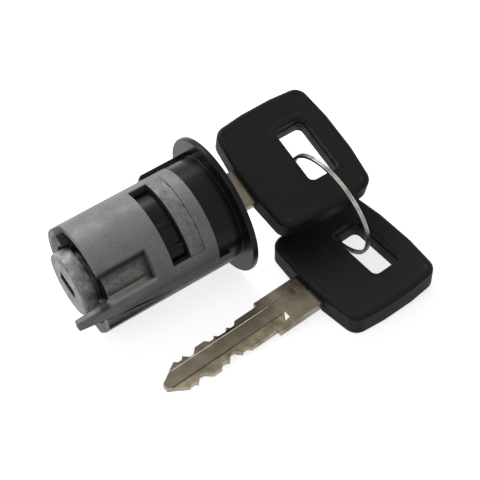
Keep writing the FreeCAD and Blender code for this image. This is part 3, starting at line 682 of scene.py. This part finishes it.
def roundDriverRim(piece):
    # Both rims of the chamfer at the rear end are rounded into each other
    toLock = lockFrame.inverted()
    places = [toLock @ vertex.co for vertex in piece.data.vertices]
    rear = min(place.x for place in places) + driverRim["depth"] * mm

    def onRim(first, second):
        ends = (toLock @ first, toLock @ second)
        return (all(end.x < rear and end.yz.length > driverRim["inner"] * mm for end in ends)
                and abs(ends[0].x - ends[1].x) < touch)

    roundEdges(piece, onRim, driverRim)


keelEnd = {"x": -41.0, "below": -9.0, "offset": 1.3, "segments": 4}


def roundKeelEnd(piece):
    # The keel's rear end is cast round
    toLock = lockFrame.inverted()

    def onEnd(first, second):
        ends = (toLock @ first, toLock @ second)
        return all(abs(end.x - keelEnd["x"] * mm) < touch and end.z < keelEnd["below"] * mm for end in ends)

    roundEdges(piece, onEnd, keelEnd, clamp_overlap=True)


flangeRim = {"depth": 0.05, "offset": 0.45, "segments": 3}


def roundFlange(piece):
    # Both rims of the flange are moulded round
    toLock = lockFrame.inverted()
    reach = max((toLock @ vertex.co).yz.length for vertex in piece.data.vertices)

    def onRim(first, second):
        ends = (toLock @ first, toLock @ second)
        return (all(end.yz.length > reach - flangeRim["depth"] * mm for end in ends)
                and abs(ends[0].x - ends[1].x) < touch)

    roundEdges(piece, onRim, flangeRim)


roundFirst = {"bezel_collar": roundFlange, "sleeve_housing": roundKeelEnd, "driver": roundDriverRim}

for pieceName, (nodeName, body, material, slotName, width, segments) in castings.items():
    piece = copyNode(nodeName, pieceName)
    if nodeName in roundFirst:
        roundFirst[nodeName](piece)
    softenEdges(piece, width, segments)
    finishPiece(piece, body, nodeName, material)
print("castings done")

dress("plug_core", plugZinc)
# Painted shade: the retaining ring in the recess gets the darker steel
dress("retaining_ring", shadedSteel)
for nodeName in ("shutter", "shutter_pin", "shutter_spring", "wafer_springs"):
    dress(nodeName, brightSteel)
for nodeName in frame["nodes"]:
    if nodeName.startswith("wafer_") and nodeName != "wafer_springs":
        dress(nodeName, waferBrass)
print("inner nodes dressed")

keyHead = {
    "border": 1.3,  # mm, flat border round the sunk middle of each broad face
    "step": 0.20,
    "sink": 0.14,
    "ledgeFrom": 2.2,  # from each broad face down to the ledge in the slot
    "ledge": 0.25,
    "ledgeEdge": 0.02,
    "slotReach": 12.0,  # the slot's walls lie this near to the head's middle
    "rim": 0.34,
    "stepLean": (0.75, 0.88),  # how far the step's normals lean towards the broad faces' one
    "smooth": 35,
}


def modelHead(nodeName, pieceName, body):
    head = copyNode(nodeName, pieceName)
    softenEdges(head, keyHead["rim"], segments=3, angle=30)
    plate, level, halfThick = plateOf(head)
    middle = sum((vertex.co for vertex in head.data.vertices), Vector()) / len(head.data.vertices)
    middle += plate * (level - plate.dot(middle))

    def onSlotWall(polygon):
        return (isWall(head, polygon, plate, halfThick)
                and (polygon.center - middle).length < keyHead["slotReach"] * mm)

    pickFaces(head, onSlotWall)
    bpy.ops.mesh.inset(thickness=keyHead["ledgeFrom"] * mm, depth=0, use_boundary=True)
    bpy.ops.mesh.inset(thickness=keyHead["ledgeEdge"] * mm, depth=keyHead["ledge"] * mm, use_boundary=True)
    for side in (1, -1):
        pickFaces(head, lambda polygon: polygon.normal.dot(plate) * side > lean["flat"]
                  and plate.dot(polygon.center - middle) * side > halfThick - touch)
        bpy.ops.mesh.inset(thickness=keyHead["border"] * mm, depth=0, use_boundary=True,
                           use_even_offset=False)
        bpy.ops.mesh.inset(thickness=keyHead["step"] * mm, depth=-keyHead["sink"] * mm, use_boundary=True,
                           use_even_offset=False)
    bpy.ops.object.mode_set(mode="OBJECT")
    head.data.materials.append(keyBlack)
    head.data.materials.append(keyLine)
    for polygon in head.data.polygons:
        if keyHead["stepLean"][0] < abs(polygon.normal.dot(plate)) < keyHead["stepLean"][1]:
            polygon.material_index = 1  # the step inside the border, painted lighter as a highlight line
    smoothByAngle(head, keyHead["smooth"])
    applyModifier(head, "WEIGHTED_NORMAL", keep_sharp=True, weight=soft["weight"])
    finishPiece(head, body, nodeName, (keyBlack, keyLine))


modelHead("key_1_head", "keyHeadOne", "first_key")
modelHead("key_2_head", "keyHeadTwo", "spare_key")
print("key heads done")

bladeMarks = {
    "band": 0.25,  # mm, depth of the upper milled step
    "strip": 0.45,  # a floor deeper than this belongs to the lower strip
    "longest": 20.0,  # only an unbroken step gets a painted highlight on its edge
    "line": 0.21,  # width of the painted highlight line on the upper step
    "facet": 2.1,  # width of the painted glint triangle at the strip's end
    "facetNear": 0.2,  # the triangle's own faces lie this near to its middle
    "cut": 0.001,  # how near a corner may be to a cut and count as on it
    "slopeLean": (0.90, 0.985),  # how far the strip's sloping end leans towards the flat sides' normal
    "edge": 0.04,
}
bladeSkins = (keyNickel, keyGlint, keyStrip, keySide)
nickel, paintedGlint, stained, milled = range(4)  # their places in the list


def isSlope(polygon, plate):
    return bladeMarks["slopeLean"][0] < abs(polygon.normal.dot(plate)) < bladeMarks["slopeLean"][1]


def cutFacet(blade):
    # Of the strip's sloping end only a triangle beside the upper step's floor keeps the painted glint
    plate, middle, _ = plateOf(blade)

    def onSlope(polygon):
        return polygon.material_index == paintedGlint and isSlope(polygon, plate)

    slopes = [(polygon.normal.copy(), [blade.data.vertices[index].co.copy() for index in polygon.vertices])
              for polygon in blade.data.polygons if onSlope(polygon)]
    kept = []
    for normal, corners in slopes:
        corners.sort(key=lambda corner: abs(plate.dot(corner) - middle))
        deep, shallow = corners[:2], corners[2:]
        stepSide = max(shallow, key=lambda corner: corner.y)
        if normal.dot(plate) < 0:
            stepSide = max(shallow, key=lambda corner: -corner.y)
        outerSide = shallow[0] if stepSide is shallow[1] else shallow[1]
        across = (outerSide - stepSide).normalized()
        toTip = deep[0] - stepSide
        toTip -= across * across.dot(toTip)
        base = stepSide + across * bladeMarks["facet"] * mm
        far = base + toTip
        for place, direction in ((base, across), (stepSide, (far - stepSide).cross(normal))):
            pickFaces(blade, onSlope)
            bpy.ops.mesh.bisect(plane_co=place, plane_no=direction.normalized(),
                                threshold=bladeMarks["cut"] * mm)
            bpy.ops.object.mode_set(mode="OBJECT")
        kept.append((stepSide + base + far) / 3)
    for polygon in blade.data.polygons:
        if onSlope(polygon) and min((polygon.center - place).length
                                    for place in kept) > bladeMarks["facetNear"] * mm:
            polygon.material_index = nickel


def modelBlade(nodeName, pieceName, body):
    blade = copyNode(nodeName, pieceName)
    for material in bladeSkins:
        blade.data.materials.append(material)
    corners = [vertex.co.copy() for vertex in blade.data.vertices]
    plate, middle, halfThick = plateOf(blade)

    def depthOf(point):
        return halfThick - abs(plate.dot(point) - middle)

    def reachOf(polygon):
        places = [corners[index] for index in polygon.vertices]
        return max((place - places[0]).length for place in places)

    # Sloping ends and the upper step's long edge get the painted glint
    stepTops = []
    for polygon in blade.data.polygons:
        facing = abs(polygon.normal.dot(plate))
        depths = [depthOf(corners[index]) for index in polygon.vertices]
        if isSlope(polygon, plate):
            polygon.material_index = paintedGlint
        elif facing > lean["flat"] and min(depths) > bladeMarks["strip"] * mm:
            polygon.material_index = stained
        elif (facing < lean["wall"] and reachOf(polygon) > bladeMarks["longest"] * mm
              and min(depths) < touch and abs(max(depths) - bladeMarks["band"] * mm) < touch):
            polygon.material_index = paintedGlint
            stepTops += [corners[index] for index in polygon.vertices if depthOf(corners[index]) < touch]
        elif isWall(blade, polygon, plate, halfThick):
            polygon.material_index = milled

    def onStep(first, second):
        return all(min(((end - top).length for top in stepTops), default=1.0) < touch
                   for end in (first, second))

    # The upper step's edge gets a bevel with the painted highlight
    pickEdges(blade, onStep)
    bpy.ops.mesh.bevel(offset=bladeMarks["line"] * mm, segments=1, affect="EDGES", material=paintedGlint)
    bpy.ops.object.mode_set(mode="OBJECT")
    cutFacet(blade)
    softenEdges(blade, bladeMarks["edge"], segments=1, angle=12)
    finishPiece(blade, body, nodeName, bladeSkins)


modelBlade("key_1_blade", "keyBladeOne", "first_key")
modelBlade("key_2_blade", "keyBladeTwo", "spare_key")
print("key blades done")

splitRing = {
    "radius": 14.9,
    "radial": 0.95,
    "axial": 0.56,
    "offset": 0.30,  # each turn's middle from the ring's middle plane
    "edge": 0.20,
    "startAngle": 222.0,
    "lastAngle": 925.0,
    "crossFrom": 565.0,  # here the wire goes over from the first turn to the second
    "crossTo": 582.0,
    "step": 2.2,
    "slack": 0.01,  # degrees
    "sideLean": 0.85,  # faces turned at least this far along x are the solid's flat sides
    "smooth": 50,
}


def ringFrame():
    # The ring's axis and middle from its solid, and its turned place from where it hangs on the key
    mesh = frame["nodes"]["key_ring"].data
    axis = sum((polygon.normal * polygon.area * (1 if polygon.normal.x > 0 else -1)
                for polygon in mesh.polygons if abs(polygon.normal.x) > splitRing["sideLean"]),
               Vector()).normalized()
    hold = Vector(jointOf["ring_swing"]["pos_m"])
    side = axis.cross(Vector((0, 0, 1))).normalized()
    over = axis.cross(side)
    middle = Vector()
    for direction in (axis, side, over):
        reach = [direction.dot(vertex.co) for vertex in mesh.vertices]
        middle += direction * (min(reach) + max(reach)) / 2
    outward = hold - middle
    outward = (outward - axis * axis.dot(outward)).normalized()
    matrix = Matrix((axis, outward, axis.cross(outward))).transposed().to_4x4()
    matrix.translation = middle
    return matrix


def turnProfile(angle):
    # With no window the operator turns the other way
    bpy.ops.transform.rotate(value=-angle, orient_axis="X", orient_type="GLOBAL",
                             center_override=(0, 0, 0))


def modelRing():
    deselectAll()
    bpy.ops.mesh.primitive_plane_add(size=1, rotation=(pi / 2, 0, 0),
                                     location=(-splitRing["offset"] * mm, 0, splitRing["radius"] * mm))
    ring = bpy.context.object
    ring.name = "splitRing"
    ring.data.name = "splitRing"
    ring.scale = (splitRing["axial"] * mm, splitRing["radial"] * mm, 1)
    bpy.ops.object.transform_apply(location=True, rotation=True, scale=True)
    bpy.ops.object.mode_set(mode="EDIT")
    bpy.ops.mesh.select_all(action="SELECT")
    bpy.ops.mesh.bevel(offset=splitRing["edge"] * mm, segments=3, affect="VERTICES")
    bpy.ops.mesh.select_all(action="SELECT")
    turnProfile(radians(splitRing["startAngle"]))
    angle = splitRing["startAngle"]
    while angle < splitRing["lastAngle"] - splitRing["slack"]:
        step = min(splitRing["step"], splitRing["lastAngle"] - angle)
        if angle < splitRing["crossFrom"]:
            step = min(step, splitRing["crossFrom"] - angle)
        angle += step
        crossing = splitRing["crossFrom"] < angle <= splitRing["crossTo"] + splitRing["slack"]
        share = step / (splitRing["crossTo"] - splitRing["crossFrom"])
        shift = 2 * splitRing["offset"] * share * mm if crossing else 0
        bpy.ops.mesh.extrude_region_move(TRANSFORM_OT_translate={"value": (shift, 0, 0)})
        turnProfile(radians(step))
    bpy.ops.mesh.select_all(action="SELECT")
    bpy.ops.mesh.normals_make_consistent(inside=False)
    bpy.ops.object.mode_set(mode="OBJECT")
    ring.matrix_world = ringFrame()
    bpy.ops.object.transform_apply(location=True, rotation=True, scale=True)
    smoothByAngle(ring, splitRing["smooth"])
    finishPiece(ring, "ring", "key_ring", ringNickel)


modelRing()
print("split ring done")


studio = {
    "floorSize": 6.0,
    "floorRough": 0.9,
    "floorColor": (1.0, 1.0, 1.0, 1.0),
    "floorBounce": (0.42, 0.42, 0.42, 1.0),  # what the paper throws back onto the part
    "floorGlow": 0.60,  # lifts the paper to white for the camera and in reflections
    "cameraGlow": 0.16,  # a little more for the camera, so that the shadow stays faint
    "worldStrength": 0.22,
    "keyPower": 1.72,
    "keySize": 0.34,
    "keyAt": (-0.06, 0.42, 0.40),
    "fillPower": 0.35,
    "fillAt": (-0.42, -0.10, 0.34),
    "fillSize": 0.30,
    "lampAim": (0, 0, 0.015),
}


def seenDirectly(tree):
    # 1 for the camera, and for what metal or glass shows of the surroundings
    path = tree.nodes.new("ShaderNodeLightPath")
    total = addMath(tree, "ADD", path.outputs["Is Camera Ray"], path.outputs["Is Glossy Ray"])
    return addMath(tree, "MINIMUM", addMath(tree, "ADD", total, path.outputs["Is Transmission Ray"]), 1.0)


def buildStudio():
    deselectAll()
    bpy.ops.mesh.primitive_plane_add(size=studio["floorSize"], location=(0, 0, 0))
    floor = bpy.context.object
    floor.name = "floor"
    material = bpy.data.materials.new("floorPaper")
    material.use_nodes = True
    tree = material.node_tree
    shader = tree.nodes["Principled BSDF"]
    paper = addMix(tree, seenDirectly(tree), studio["floorBounce"], studio["floorColor"])
    tree.links.new(paper, shader.inputs["Base Color"])
    shader.inputs["Roughness"].default_value = studio["floorRough"]
    shader.inputs["Specular IOR Level"].default_value = 0.0
    shader.inputs["Emission Color"].default_value = (1, 1, 1, 1)
    glow = addMath(tree, "MULTIPLY", seenDirectly(tree), studio["floorGlow"])
    path = tree.nodes.new("ShaderNodeLightPath")
    more = addMath(tree, "MULTIPLY", path.outputs["Is Camera Ray"], studio["cameraGlow"])
    glow = addMath(tree, "ADD", glow, more)
    tree.links.new(glow, shader.inputs["Emission Strength"])
    floor.data.materials.append(material)

    world = bpy.data.worlds.new("studioWorld")
    bpy.context.scene.world = world
    world.use_nodes = True
    tree = world.node_tree
    tree.nodes.clear()
    plain = tree.nodes.new("ShaderNodeBackground")
    plain.inputs["Strength"].default_value = studio["worldStrength"]
    seen = tree.nodes.new("ShaderNodeBackground")
    seen.inputs["Strength"].default_value = 1.0
    for node in (plain, seen):
        node.inputs["Color"].default_value = (1, 1, 1, 1)
    mix = tree.nodes.new("ShaderNodeMixShader")
    output = tree.nodes.new("ShaderNodeOutputWorld")
    tree.links.new(seenDirectly(tree), mix.inputs["Fac"])
    tree.links.new(plain.outputs[0], mix.inputs[1])
    tree.links.new(seen.outputs[0], mix.inputs[2])
    tree.links.new(mix.outputs[0], output.inputs[0])


def addLamp(name, at, power, size):
    bpy.ops.object.light_add(type="AREA", location=at)
    lamp = bpy.context.object
    lamp.name = name
    lamp.data.energy = power
    lamp.data.shape = "DISK"
    lamp.data.size = size
    direction = Vector(studio["lampAim"]) - Vector(at)
    lamp.rotation_euler = direction.to_track_quat("-Z", "Y").to_euler()


view = {
    "cameraFromLock": (-129.51, -205.29, 239.84),  # mm, from the middle of the flange's front face
    "lookBack": (-0.3830, -0.5758, 0.7224),  # from the scene to the camera
    "right": (0.8326, -0.5538, 0.0),
    "lens": 100.15,
    "sensor": 36.0,
    "nearest": 0.01,
    "farthest": 20.0,
}


def addCamera():
    data = bpy.data.cameras.new("photoView")
    data.lens = view["lens"]
    data.sensor_width = view["sensor"]
    data.clip_start = view["nearest"]
    data.clip_end = view["farthest"]
    camera = bpy.data.objects.new("photoView", data)
    bpy.context.scene.collection.objects.link(camera)
    back = Vector(view["lookBack"]).normalized()
    right = Vector(view["right"]).normalized()
    up = back.cross(right)
    matrix = Matrix((right, up, back)).transposed().to_4x4()
    matrix.translation = lockOrigin + Vector(view["cameraFromLock"]) * mm
    camera.matrix_world = matrix
    bpy.context.scene.camera = camera


buildStudio()
addLamp("keyLamp", studio["keyAt"], studio["keyPower"], studio["keySize"])
addLamp("fillLamp", studio["fillAt"], studio["fillPower"], studio["fillSize"])
addCamera()
bpy.context.scene.view_settings.view_transform = "Standard"
print("studio set")
